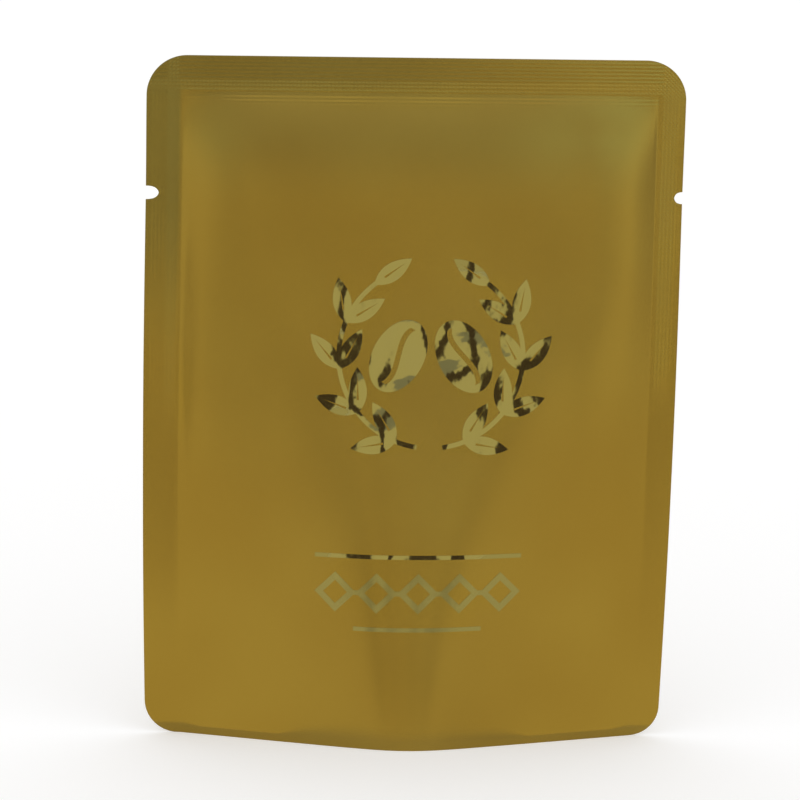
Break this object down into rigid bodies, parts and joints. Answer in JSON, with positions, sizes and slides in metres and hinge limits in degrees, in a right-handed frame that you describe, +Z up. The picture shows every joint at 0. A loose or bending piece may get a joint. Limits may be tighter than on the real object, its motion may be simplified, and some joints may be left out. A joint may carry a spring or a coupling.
{
  "type": "drip coffee bag",
  "caption": "Unfilled drip coffee bag sachet of matte gold film, heat-sealed on the sides and top, with tear notches, standing on its open mouth.",
  "frame": {"origin": "centre of the bounding box at the mouth rim, which the sachet stands on", "axes": "+X across the sachet to the right as seen from the printed front, +Y from the front sheet to the back sheet, +Z up from the open mouth to the top seal"},
  "size_m": [0.1, 0.0236, 0.13],
  "materials": {
    "film": "matte metallised gold laminate",
    "foil": "mirror-bright stamped foil, pale gold"
  },
  "bodies": {
    "root": {"pouch": "film", "foil_branch_left": "foil", "foil_branch_right": "foil", "foil_bean_left": "foil", "foil_bean_right": "foil", "foil_rule_upper": "foil", "foil_lozenge_band": "foil", "foil_rule_lower": "foil"}
  },
  "joints": []
}
